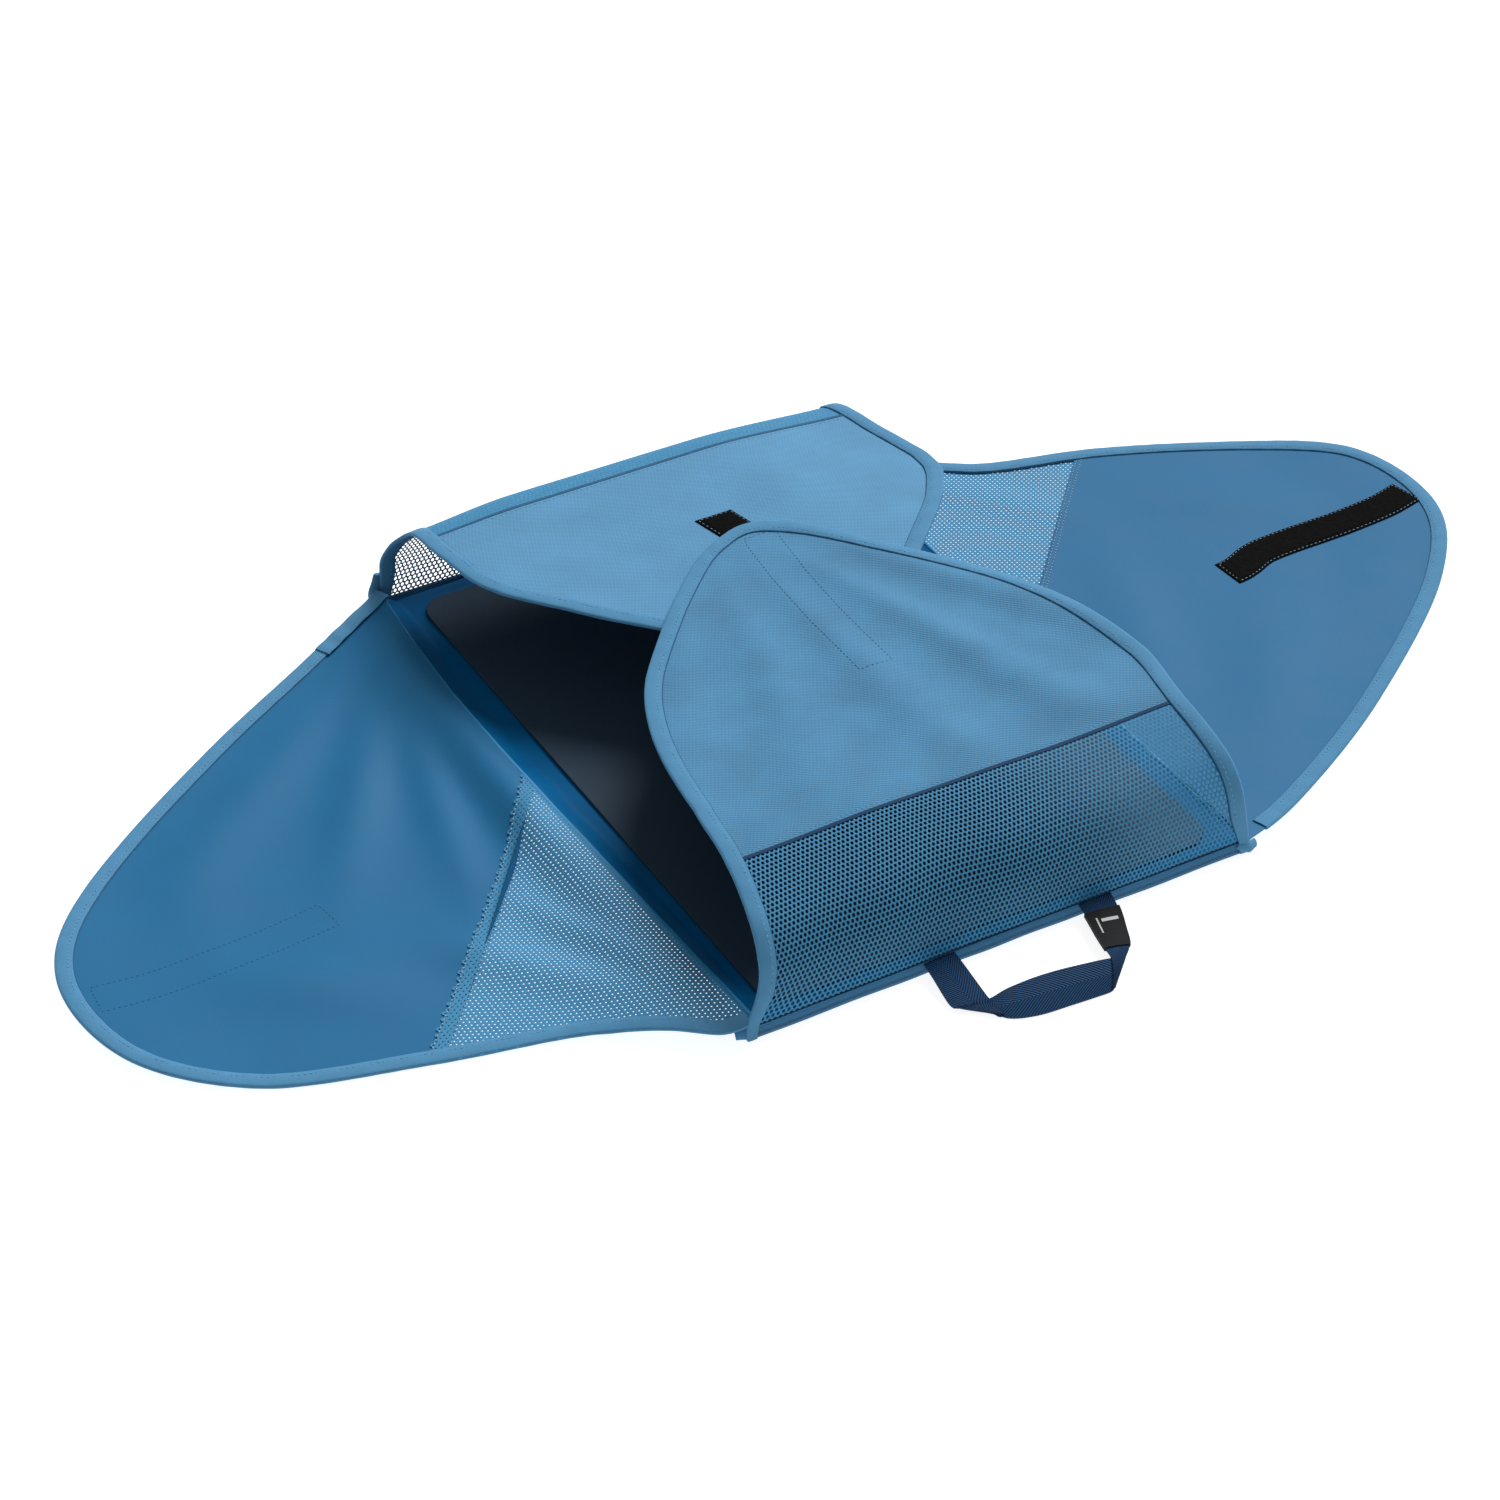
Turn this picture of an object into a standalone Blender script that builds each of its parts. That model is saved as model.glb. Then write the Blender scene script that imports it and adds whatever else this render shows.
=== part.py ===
"""A garment folder, open on its side wings: a fabric base with a stiffener and a loose folding board, and four
wings of fabric and mesh that wrap round a pile of shirts. The front and back wings are folded in over the space
for the shirts, and the left and right wings lie flat.

World frame: origin at the centre of the base's underside, +X along the front edge, +Y to the back, +Z up.
Each wing is modelled in its own frame: x runs out from its fold, y along the fold, z towards the wing's inner
face. Left and right wings are the same wing turned half round, and so are the gussets in them.
"""

import math

import bmesh
import bpy
from mathutils import Matrix, Vector

# Driving dimensions, in metres.
BASE_X = 0.356            # short edges, at the front and back
BASE_Y = 0.508            # long edges, at the left and right
CLEARANCE = 0.0003        # between pieces that are sewn or lie on each other
FABRIC = 0.0008           # thickness of fabric and mesh
TAPE = 0.0006             # thickness of one side of a folded binding tape
TAPE_WIDTH = 0.009        # how far a binding reaches in from the edge
FOLD_GAP = 0.002          # from a fold to the pieces that turn about it
HOOK_WIDTH = 0.025        # hook and loop strips
HOOK_LENGTH = 0.170
HOOK_THICK = 0.0015
SIDE_STRIP_LENGTH = 0.165
WEBBING = 0.025           # handle webbing width
WEBBING_THICK = 0.0016

# Base, as layers from the ground up.
PIPING_RADIUS = 0.0036
PIPING_X = BASE_X / 2 - 0.0021
LAYER_X = 2 * (PIPING_X - PIPING_RADIUS - CLEARANCE)
LAYER_Y = BASE_Y - 0.008
STIFFENER_THICK = 0.005
BOARD_THICK = 0.0018
BOARD_X = 0.324
BOARD_Y = 0.478
BOARD_CORNER = 0.018
WELT_HEIGHT = 0.0105
WELT_Y = BASE_Y / 2 - 0.002

# Side wings, which lie open on the ground.
SIDE_FOLD_HEIGHT = 0.006
BINDING_HALF = FABRIC / 2 + CLEARANCE + TAPE
STRIP_OFFSET = FABRIC / 2 + CLEARANCE + HOOK_THICK / 2
SIDE_LEVEL = STRIP_OFFSET + HOOK_THICK / 2 - SIDE_FOLD_HEIGHT
LEFT_WALL = 0.078
RIGHT_WALL = 0.084
SIDE_OUTLINE = [
    (0.000, 0.254), (0.060, 0.216), (0.180, 0.180), (0.275, 0.148), (0.334, 0.088),
    (0.342, 0.000), (0.290, -0.076), (0.168, -0.167), (0.000, -0.254),
]
GUSSET_INNER = (0.000, -0.012)
GUSSET_OUTER = (0.168, 0.177)
SIDE_STRIP_START = 0.164
SIDE_STRIP_CENTRE = 0.018

# Front and back wings, folded in over the shirts.
END_FOLD_HEIGHT = 0.012
FRONT_TOP_Y = 0.187
FRONT_TOP_Z = 0.0807
BACK_TOP_Y = 0.240
BACK_TOP_Z = 0.0760
BACK_TOP_MESH = 0.024
END_WALL_HALF = 0.174
FRONT_ARCH = [
    (0.000, 0.167), (0.060, 0.166), (0.120, 0.157), (0.178, 0.135), (0.238, 0.088), (0.288, 0.036),
    (0.312, 0.000),
]
BACK_ARCH = [
    (0.000, 0.158), (0.040, 0.163), (0.090, 0.162), (0.140, 0.148), (0.199, 0.106), (0.255, 0.046),
    (0.285, 0.000),
]
SEAM_TAPE = 0.006
FRONT_STRIP_START = 0.124
BACK_STRIP_START = 0.097

# Handle, a flat loop that lies forward from the front edge.
HANDLE_AXIS_Y = BASE_Y / 2 + 0.002
HANDLE_AXIS_Z = 0.0100
HANDLE_DROP = math.radians(7.5)
HANDLE_REACH = 0.056
HANDLE_HALF = 0.066
HANDLE_CORNER = 0.022
TAG_START = 0.009
TAG_LENGTH = 0.018

YAW = {"right": 0.0, "back": math.pi / 2, "left": math.pi, "front": -math.pi / 2}


def clear_scene():
    for obj in list(bpy.data.objects):
        bpy.data.objects.remove(obj, do_unlink=True)


def new_collection(name):
    collection = bpy.data.collections.new(name)
    bpy.context.scene.collection.children.link(collection)
    return collection


def material(name, colour, roughness, metallic=0.0):
    made = bpy.data.materials.new(name)
    made.use_nodes = True
    shader = made.node_tree.nodes["Principled BSDF"]
    shader.inputs["Base Color"].default_value = (*colour, 1.0)
    shader.inputs["Roughness"].default_value = roughness
    shader.inputs["Metallic"].default_value = metallic
    return made


def add(name, data, finish, frame=None):
    """Links an object with its own copy of a finish, in the frame of an empty."""
    obj = bpy.data.objects.new(name, data)
    FOLDER.objects.link(obj)
    obj.parent = frame
    data.materials.append(material(name, *FINISHES[finish]))
    return obj


def empty(name, location, rotation=(0, 0, 0), parent=None):
    """An empty on a fold, which carries the pieces that turn about it."""
    obj = bpy.data.objects.new(name, None)
    GUIDES.objects.link(obj)
    obj.parent = parent
    obj.location = location
    obj.rotation_euler = rotation
    return obj


def fold_frame(side, reach, height, lift):
    """A frame on a fold of the base: x points out from the side, lifted by an angle, and y along the fold."""
    out = Matrix.Rotation(YAW[side], 4, "Z") @ Vector((reach, 0, height))
    return empty(side + "_wall_fold", out, (0, -lift, YAW[side]))


def smooth(points, steps=5):
    """A Catmull-Rom curve through the points, with its ends kept."""
    line = [Vector(p) for p in points]
    ends = [2 * line[0] - line[1]] + line + [2 * line[-1] - line[-2]]
    curve = []
    for a, b, c, d in zip(ends, ends[1:], ends[2:], ends[3:]):
        for i in range(steps):
            t = i / steps
            curve.append(
                b + (c - a) * t / 2 + (2 * a - 5 * b + 4 * c - d) * t**2 / 2
                + (3 * b - a - 3 * c + d) * t**3 / 2
            )
    return curve + [line[-1]]


def mirrored(arch):
    """The whole arch from one half of it, given as (distance from the fold, half width)."""
    half = smooth(arch)
    return half + [Vector((p.x, -p.y)) for p in reversed(half[:-1])]


def inset(line, distance):
    """The line moved to its right by a distance, as seen walking along it."""
    moved = []
    for i, point in enumerate(line):
        along = (line[min(i + 1, len(line) - 1)] - line[max(i - 1, 0)]).normalized()
        moved.append(point + distance * Vector((along.y, -along.x)))
    return moved


def lengthened(line, extra=0.015):
    """The line run on straight past both of its ends."""
    before = extra * (line[0] - line[1]).normalized()
    after = extra * (line[-1] - line[-2]).normalized()
    return [line[0] + before, *line, line[-1] + after]


def cut(bm, keep, fill=False):
    """Cuts a mesh upright along lines, given as (point, direction to keep), and closes the cuts of a solid."""
    for point, side in keep:
        bmesh.ops.bisect_plane(
            bm, geom=bm.verts[:] + bm.edges[:] + bm.faces[:], dist=1e-7,
            plane_co=(*point, 0), plane_no=(*side, 0), clear_inner=True,
        )
        if fill:
            bmesh.ops.holes_fill(bm, edges=[edge for edge in bm.edges if edge.is_boundary])


def sheet(name, outline, finish, frame=None, level=0.0, thick=FABRIC, keep=()):
    """A flat sheet with this outline, centred on a level. keep lists lines as (point, direction to keep)."""
    bm = bmesh.new()
    bm.faces.new([bm.verts.new((p[0], p[1], level)) for p in outline])
    cut(bm, keep)
    bmesh.ops.recalc_face_normals(bm, faces=bm.faces[:])
    mesh = bpy.data.meshes.new(name)
    bm.to_mesh(mesh)
    bm.free()
    obj = add(name, mesh, finish, frame)
    solid = obj.modifiers.new("Solidify", "SOLIDIFY")
    solid.thickness = thick
    solid.offset = 0
    return obj


def rounded_rectangle(x_range, y_range, radius=0.0):
    """The outline of a rectangle, with quarter-circle corners."""
    (x0, x1), (y0, y1) = x_range, y_range
    if not radius:
        return [(x0, y0), (x1, y0), (x1, y1), (x0, y1)]
    centres = [
        (x1 - radius, y1 - radius), (x0 + radius, y1 - radius),
        (x0 + radius, y0 + radius), (x1 - radius, y0 + radius),
    ]
    steps = 4
    return [
        (x + radius * math.cos(turn), y + radius * math.sin(turn))
        for corner, (x, y) in enumerate(centres)
        for turn in ((corner + i / steps) * math.pi / 2 for i in range(steps + 1))
    ]


def tape_profile():
    """A folded tape seen along the edge that it binds: a U, open towards the panel."""
    inner = BINDING_HALF - TAPE
    points = [
        (TAPE_WIDTH, BINDING_HALF), (0, BINDING_HALF), (0, -BINDING_HALF), (TAPE_WIDTH, -BINDING_HALF),
        (TAPE_WIDTH, -inner), (TAPE, -inner), (TAPE, inner), (TAPE_WIDTH, inner),
    ]
    return poly_curve("tape_profile", points, closed=True)


def poly_curve(name, points, closed=False):
    curve = bpy.data.curves.new(name, "CURVE")
    curve.dimensions = "2D"
    curve.fill_mode = "NONE" if not closed else "BOTH"
    spline = curve.splines.new("POLY")
    spline.points.add(len(points) - 1)
    for made, point in zip(spline.points, points):
        made.co = (point[0], point[1], 0, 1)
    spline.use_cyclic_u = closed
    return curve


def binding(name, line, frame, keep, level=0.0):
    """Tape folded over the edge that runs along a line, the panel to its right, kept on one side of each cut."""
    curve = poly_curve(name, lengthened(line))
    curve.bevel_mode = "OBJECT"
    curve.bevel_object = TAPE_GUIDE
    curve.use_fill_caps = True
    guide = bpy.data.objects.new(name + "_curve", curve)
    GUIDES.objects.link(guide)
    graph = bpy.context.evaluated_depsgraph_get()
    mesh = bpy.data.meshes.new_from_object(guide.evaluated_get(graph))
    bpy.data.objects.remove(guide)
    bm = bmesh.new()
    bm.from_mesh(mesh)
    bmesh.ops.remove_doubles(bm, verts=bm.verts[:], dist=1e-6)
    cut(bm, keep, fill=True)
    bmesh.ops.recalc_face_normals(bm, faces=bm.faces[:])
    bm.to_mesh(mesh)
    bm.free()
    mesh.materials.clear()
    mesh.name = name
    obj = add(name, mesh, "binding", frame)
    obj.location.z = level
    return obj


def layer(name, size, corner, bottom, thick, finish):
    x, y = size[0] / 2, size[1] / 2
    outline = rounded_rectangle((-x, x), (-y, y), corner)
    return sheet(name, outline, finish, level=bottom + thick / 2, thick=thick)


def build_base():
    """The base: outer panel, stiffener and lining, piped along its long edges and welted along the short ones."""
    level = 0.0
    for name, thick, finish in (
        ("base_outer_panel", FABRIC, "fabric"),
        ("base_stiffener", STIFFENER_THICK, "stiffener"),
        ("base_lining", FABRIC, "lining"),
    ):
        layer(name, (LAYER_X, LAYER_Y), 0.006, level, thick, finish)
        level += thick + CLEARANCE
    for side, x in (("left", -PIPING_X), ("right", PIPING_X)):
        piping = bpy.data.curves.new(side + "_edge_piping", "CURVE")
        piping.dimensions = "3D"
        piping.bevel_depth = PIPING_RADIUS
        piping.bevel_resolution = 2
        piping.use_fill_caps = True
        spline = piping.splines.new("POLY")
        spline.points.add(1)
        for made, y in zip(spline.points, (-LAYER_Y / 2, LAYER_Y / 2)):
            made.co = (x, y, PIPING_RADIUS, 1)
        add(side + "_edge_piping", piping, "piping")
    for side, direction in (("front", -1), ("back", 1)):
        y = direction * WELT_Y
        frame = empty(side + "_welt_frame", (0, y, WELT_HEIGHT / 2), (math.pi / 2, 0, 0))
        half = BASE_X / 2 - 0.012
        outline = rounded_rectangle((-half, half), (-WELT_HEIGHT / 2, WELT_HEIGHT / 2))
        sheet(side + "_welt", outline, "welt", frame, thick=2 * FABRIC)
        for end, x in (("left", -1), ("right", 1)):
            tab = empty(f"{side}_{end}_tab_frame", (x * (BASE_X / 2 - 0.006), y, 0))
            outline = rounded_rectangle((-0.0055, 0.0055), (-0.0014, 0.0014))
            sheet(f"{side}_{end}_corner_tab", outline, "binding", tab, level=0.0052, thick=0.0102)


def build_board():
    """The loose folding board, a thin plastic sheet that lies on the lining."""
    bottom = 2 * FABRIC + STIFFENER_THICK + 3 * CLEARANCE
    layer("folding_board", (BOARD_X, BOARD_Y), BOARD_CORNER, bottom, BOARD_THICK, "board")


def build_side_wing(side, wall, strip_face):
    """A side wing: wall and top parts of its fabric, mesh gusset and binding, split along the fold between them.
    strip_face is 1 where the hook or loop strip is on the inner face, and -1 on the outer face."""
    wall_fold = fold_frame(side, BASE_X / 2, SIDE_FOLD_HEIGHT, 0.0)
    top_fold = empty(side + "_top_fold", (wall, 0, 0), parent=wall_fold)
    outline = smooth(SIDE_OUTLINE)
    panel = inset(outline, TAPE + CLEARANCE)
    seam = Vector(GUSSET_OUTER) - Vector(GUSSET_INNER)
    gusset_side = Vector((-seam.y, seam.x)).normalized()
    gusset_edge = Vector(GUSSET_INNER) + gusset_side * CLEARANCE
    panel_edge = Vector(GUSSET_INNER) - gusset_side * CLEARANCE
    gap = CLEARANCE / 2
    wall_cuts = [((FOLD_GAP, 0), (1, 0)), ((wall - gap, 0), (-1, 0))]
    top_cuts = [((wall + gap, 0), (1, 0))]
    for part, frame, shift, cuts in (
        ("wall", wall_fold, 0.0, wall_cuts), ("top", top_fold, wall, top_cuts),
    ):
        pieces = (
            (f"{side}_wing_{part}_fabric", "fabric_inner", (panel_edge, -gusset_side)),
            (f"{side}_wing_{part}_gusset", "mesh", (gusset_edge, gusset_side)),
        )
        for name, finish, seam_cut in pieces:
            obj = sheet(name, panel, finish, frame, SIDE_LEVEL, keep=cuts + [seam_cut])
            obj.location.x = -shift
    for name, half in (("gusset_side", (0, 1)), ("fabric_side", (0, -1))):
        keep = wall_cuts + [((0, 0), half)]
        binding(f"{side}_wall_binding_{name}", outline, wall_fold, keep, SIDE_LEVEL)
    top = binding(side + "_top_binding", outline, top_fold, top_cuts, SIDE_LEVEL)
    top.location.x = -wall
    level = SIDE_LEVEL + strip_face * STRIP_OFFSET
    start = SIDE_STRIP_START - wall
    low = SIDE_STRIP_CENTRE - HOOK_WIDTH / 2
    outline = rounded_rectangle((start, start + SIDE_STRIP_LENGTH), (low, low + HOOK_WIDTH), 0.002)
    name = side + ("_hook_strip" if strip_face > 0 else "_loop_strip")
    sheet(name, outline, "hook", top_fold, level, HOOK_THICK)


def build_end_wing(side, top_y, top_z, arch, strip_start, strip_face):
    """A front or back wing, folded in: a mesh wall up to the fold, and a flap of fabric over the shirts."""
    run, rise = BASE_Y / 2 - top_y, top_z - END_FOLD_HEIGHT
    wall, lift = math.hypot(run, rise), math.pi - math.atan2(rise, run)
    wall_fold = fold_frame(side, BASE_Y / 2, END_FOLD_HEIGHT, lift)
    top_fold = empty(side + "_top_fold", (wall, 0, 0), (0, lift - math.pi, 0), wall_fold)
    half = arch[0][1]
    gap = CLEARANCE / 2
    edge = [Vector((FOLD_GAP, END_WALL_HALF)), Vector((wall - gap, half))]
    other = [Vector((p.x, -p.y)) for p in reversed(edge)]
    inner = inset(edge, TAPE + CLEARANCE) + inset(other, TAPE + CLEARANCE)
    sheet(side + "_wall_mesh", inner, "mesh", wall_fold)
    cuts = [((FOLD_GAP, 0), (1, 0)), ((wall - gap, 0), (-1, 0))]
    binding(side + "_wall_binding_1", edge, wall_fold, cuts)
    binding(side + "_wall_binding_2", other, wall_fold, cuts)
    outline = mirrored(arch)
    start = FOLD_GAP
    binding(side + "_flap_binding", outline, top_fold, [((start, 0), (1, 0))])
    panel = inset(outline, TAPE + CLEARANCE)
    if side == "back":
        limits = [((start, 0), (1, 0)), ((BACK_TOP_MESH, 0), (-1, 0))]
        sheet("back_top_mesh", panel, "mesh", top_fold, keep=limits)
        start = BACK_TOP_MESH + CLEARANCE
    tape_end = start + SEAM_TAPE
    limits = [((start, 0), (1, 0)), ((tape_end, 0), (-1, 0))]
    sheet(side + "_seam_tape", panel, "seam", top_fold, keep=limits)
    sheet(side + "_flap_fabric", panel, "fabric", top_fold, keep=[((tape_end + CLEARANCE, 0), (1, 0))])
    outline = rounded_rectangle(
        (strip_start, strip_start + HOOK_LENGTH), (-HOOK_WIDTH / 2, HOOK_WIDTH / 2), 0.002
    )
    name = side + ("_hook_strip" if strip_face > 0 else "_loop_strip")
    sheet(name, outline, "hook", top_fold, strip_face * STRIP_OFFSET, HOOK_THICK)


def build_handle():
    """The webbing loop, sewn into the seam over the front welt, and the tag folded round one of its legs."""
    frame = empty(
        "handle_fold", (0, -HANDLE_AXIS_Y, HANDLE_AXIS_Z), (0, HANDLE_DROP, YAW["front"])
    )
    reach, half = HANDLE_REACH, HANDLE_HALF
    legs = rounded_rectangle((-reach, reach), (-half, half), HANDLE_CORNER)
    hole = rounded_rectangle((WEBBING - reach, reach - WEBBING), (WEBBING - half, half - WEBBING), 0.008)
    outer = [p for p in legs if p[0] > 0]
    inner = [p for p in hole if p[0] > 0]
    split = len(outer) // 2
    outer = [(0, -half)] + outer[split:] + outer[:split] + [(0, half)]
    split = len(inner) // 2
    inner = [(0, WEBBING - half)] + inner[split:] + inner[:split] + [(0, half - WEBBING)]
    sheet("handle_webbing", outer + inner[::-1], "webbing", frame, thick=WEBBING_THICK)
    leg = half - WEBBING / 2
    wide = WEBBING / 2 + 0.0012
    outline = rounded_rectangle((TAG_START, TAG_START + TAG_LENGTH), (leg - wide, leg + wide))
    level = WEBBING_THICK / 2 + CLEARANCE + 0.0003
    sheet("handle_size_tag", outline, "tag", frame, level, 0.0006)


FINISHES = {
    "fabric": ((0.076, 0.246, 0.432), 0.72),
    "fabric_inner": ((0.011, 0.137, 0.300), 0.58),
    "lining": ((0.0004, 0.105, 0.280), 0.45),
    "welt": ((0.038, 0.165, 0.320), 0.70),
    "binding": ((0.074, 0.248, 0.435), 0.70),
    "seam": ((0.004, 0.045, 0.115), 0.70),
    "mesh": ((0.050, 0.234, 0.425), 0.60),
    "piping": ((0.020, 0.190, 0.400), 0.45),
    "hook": ((0.0034, 0.0035, 0.0037), 0.90),
    "webbing": ((0.0035, 0.029, 0.080), 0.70),
    "tag": ((0.0060, 0.0062, 0.0068), 0.70),
    "stiffener": ((0.700, 0.700, 0.680), 0.60),
    "board": ((0.022, 0.044, 0.072), 0.60),
}

clear_scene()
FOLDER = new_collection("garment_folder")
GUIDES = new_collection("guides")
GUIDES.hide_render = True
TAPE_GUIDE = bpy.data.objects.new("tape_profile", tape_profile())
GUIDES.objects.link(TAPE_GUIDE)
TAPE_GUIDE.hide_render = True
TAPE_GUIDE.display_type = "WIRE"

build_base()
build_board()
build_side_wing("left", LEFT_WALL, strip_face=-1)
build_side_wing("right", RIGHT_WALL, strip_face=1)
build_end_wing("front", FRONT_TOP_Y, FRONT_TOP_Z, FRONT_ARCH, FRONT_STRIP_START, strip_face=1)
build_end_wing("back", BACK_TOP_Y, BACK_TOP_Z, BACK_ARCH, BACK_STRIP_START, strip_face=-1)
build_handle()
bpy.context.view_layer.update()
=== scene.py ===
"""The looks of the garment folder: cloth, net, tape, thread and webbing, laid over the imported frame.

Each wing is drawn flat, as it was cut: s runs out from its sewn edge, t along that edge, and n towards the
face that ends up inside. One function for each kind of wing then says where its cloth lies, so that fabric,
net, tape and thread follow the same folds. World: metres, origin under the middle of the base, +X right,
+Y back, +Z up.
"""

import math

import bpy
import numpy as np
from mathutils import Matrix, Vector, geometry


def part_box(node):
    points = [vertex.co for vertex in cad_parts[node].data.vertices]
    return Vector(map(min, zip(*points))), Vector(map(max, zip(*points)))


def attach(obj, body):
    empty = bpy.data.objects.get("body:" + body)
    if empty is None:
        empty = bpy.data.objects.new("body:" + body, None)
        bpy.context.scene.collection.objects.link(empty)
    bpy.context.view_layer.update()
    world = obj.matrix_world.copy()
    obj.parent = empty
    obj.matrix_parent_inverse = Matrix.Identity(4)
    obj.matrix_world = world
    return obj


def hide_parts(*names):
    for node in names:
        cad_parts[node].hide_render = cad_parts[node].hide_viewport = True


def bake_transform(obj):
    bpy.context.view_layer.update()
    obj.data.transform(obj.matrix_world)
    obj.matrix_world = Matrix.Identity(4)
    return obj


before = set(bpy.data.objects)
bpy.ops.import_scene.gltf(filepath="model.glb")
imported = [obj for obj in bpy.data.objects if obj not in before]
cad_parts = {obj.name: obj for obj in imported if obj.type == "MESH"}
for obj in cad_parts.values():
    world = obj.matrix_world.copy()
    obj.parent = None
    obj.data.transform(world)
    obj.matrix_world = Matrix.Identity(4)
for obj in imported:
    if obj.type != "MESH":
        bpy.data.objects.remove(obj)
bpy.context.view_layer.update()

# Thicknesses and widths.
FABRIC = 0.0007
NET = 0.0006
TAPE_WIDTH = 0.0108       # how far a binding reaches in from the edge
TAPE_OUT = 0.0015         # from the middle of the fabric to a binding's outer face
TAPE_IN = 0.0004
STITCH_IN = 0.0078        # from the edge to the row of stitches on a binding
STITCH = 0.0026           # one stitch
STITCH_GAP = 0.0010
STRIP_WIDTH = 0.0275      # hook and loop strips
STRIP_THICK = 0.0015
WEBBING = 0.025

# The net's holes: a staggered lattice, each hole longer along s than it is wide.
HOLE_PITCH = 0.0031
ROW_PITCH = 0.0031
ROW_SIDE = 0.36           # share of the row pitch where two neighbours' straight sides meet
HOLE_WIDE = 0.60
HOLE_LONG = 0.66
TIGHTENED = 0.90          # how far the holes close up over the back wing's top edge
NEVER = 9.0               # an s beyond every piece

# The base's half width and depth, and the heights and fold lines that the frame gives.
HALF_X = 0.178
HALF_Y = 0.254
LINING_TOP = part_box("base_lining")[1].z
SIDE_LEVEL = sum(corner.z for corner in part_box("left_wing_top_fabric")) / 2

# Side wings, flat: the edge from the gusset's end of the fold round to the other end.
SIDE_OUTLINE = [
    (0.000, 0.254), (0.022, 0.250), (0.045, 0.232), (0.071, 0.213), (0.102, 0.198), (0.180, 0.179),
    (0.275, 0.148), (0.334, 0.088), (0.342, 0.000), (0.290, -0.076), (0.168, -0.167), (0.061, -0.228),
    (0.000, -0.254),
]
GUSSET_SEAM = [(0.000, -0.012), (0.168, 0.177)]
GUSSET_BAND = 0.010       # how far the net and the fabric lap
GUSSET_OPEN = {"left": 0.44, "right": 0.48}     # how far the net's holes are open
PUCKER = {"left": 0.0, "right": 0.017}     # how far the gusset's edge is drawn in
GUSSET_LIFT = {"left": 0.006, "right": 0.0008}
CORNER_LIFT = {"left": 0.006, "right": 0.002}
# Soft folds in the side wings: start, end, width and height.
SIDE_FOLDS = {
    "left": [
        ((0.000, -0.230), (0.190, 0.060), 0.020, 0.0050),
        ((0.000, -0.235), (0.290, -0.010), 0.022, 0.0035),
        ((0.010, -0.235), (0.110, 0.140), 0.016, 0.0040),
        ((0.000, 0.240), (0.150, 0.060), 0.018, 0.0050),
        ((0.000, 0.245), (0.080, 0.030), 0.012, 0.0040),
        ((0.040, 0.100), (0.330, 0.050), 0.030, 0.0025),
        ((0.120, 0.165), (0.290, 0.020), 0.025, 0.0020),
        ((0.180, -0.150), (0.300, 0.090), 0.030, 0.0015),
        ((0.016, 0.262), (0.022, -0.100), 0.018, 0.0080),
        ((0.016, -0.262), (0.020, 0.120), 0.018, 0.0065),
    ],
    "right": [
        ((0.020, -0.230), (0.230, 0.020), 0.030, 0.0018),
        ((0.010, -0.200), (0.130, 0.130), 0.024, 0.0018),
        ((0.000, 0.240), (0.150, 0.080), 0.018, 0.0014),
        ((0.120, 0.150), (0.330, 0.000), 0.035, 0.0018),
        ((0.210, -0.110), (0.330, 0.040), 0.030, 0.0014),
    ],
}

# Front and back wings from the side, up the wall and along the flap: (distance from the middle, height).
END_PROFILE = {
    "front": [
        (0.2535, 0.008), (0.2510, 0.028), (0.2450, 0.048), (0.2320, 0.063), (0.2110, 0.0735),
        (0.1870, 0.0806), (0.1600, 0.0828), (0.1200, 0.0822), (0.0600, 0.0812), (-0.1400, 0.0807),
    ],
    "back": [
        (0.2535, 0.008), (0.2530, 0.030), (0.2510, 0.050), (0.2465, 0.064), (0.2380, 0.0735),
        (0.2250, 0.0778), (0.2000, 0.0785), (0.1600, 0.0776), (0.1000, 0.0764), (-0.0600, 0.0760),
    ],
}
END_FOLD_OUT = {"front": 0.187, "back": 0.2395}
# The walls' outline up one side, as (s, t), and the flaps', as (distance beyond the fold, t).
END_EDGE = {
    "front": [(-0.0060, 0.1740), (0.0000, 0.1740), (0.0460, 0.1730)],
    "back": [
        (-0.0060, 0.1745), (0.0000, 0.1745), (0.0120, 0.1765), (0.0250, 0.1800), (0.0370, 0.1810),
        (0.0520, 0.1755),
    ],
}
END_ARCH = {
    "front": [
        (0.000, 0.165), (0.047, 0.165), (0.102, 0.158), (0.147, 0.145), (0.187, 0.1245), (0.239, 0.0835),
        (0.282, 0.045), (0.300, 0.020), (0.306, 0.000),
    ],
    "back": [
        (0.000, 0.167), (0.038, 0.170), (0.0825, 0.1725), (0.103, 0.1695), (0.122, 0.161), (0.157, 0.134),
        (0.1855, 0.107), (0.225, 0.068), (0.264, 0.024), (0.274, 0.000),
    ],
}
# How far each flap's middle stands to the right, by distance from the fold.
END_SHIFT = {
    "front": [
        (-0.100, 0.000), (0.000, 0.004), (0.050, 0.010), (0.187, 0.011), (0.240, 0.014), (0.282, 0.019),
        (0.306, 0.025),
    ],
    "back": [
        (-0.080, 0.000), (0.000, 0.001), (0.046, 0.005), (0.0825, 0.0115), (0.120, 0.021), (0.144, 0.024),
        (0.274, 0.020),
    ],
}
BACK_TOP_NET = 0.024
# How far the walls spread at their lower left and lower right corners.
FLARE = {"front": (0.0110, 0.0035), "back": (0.0080, 0.0020)}

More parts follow.
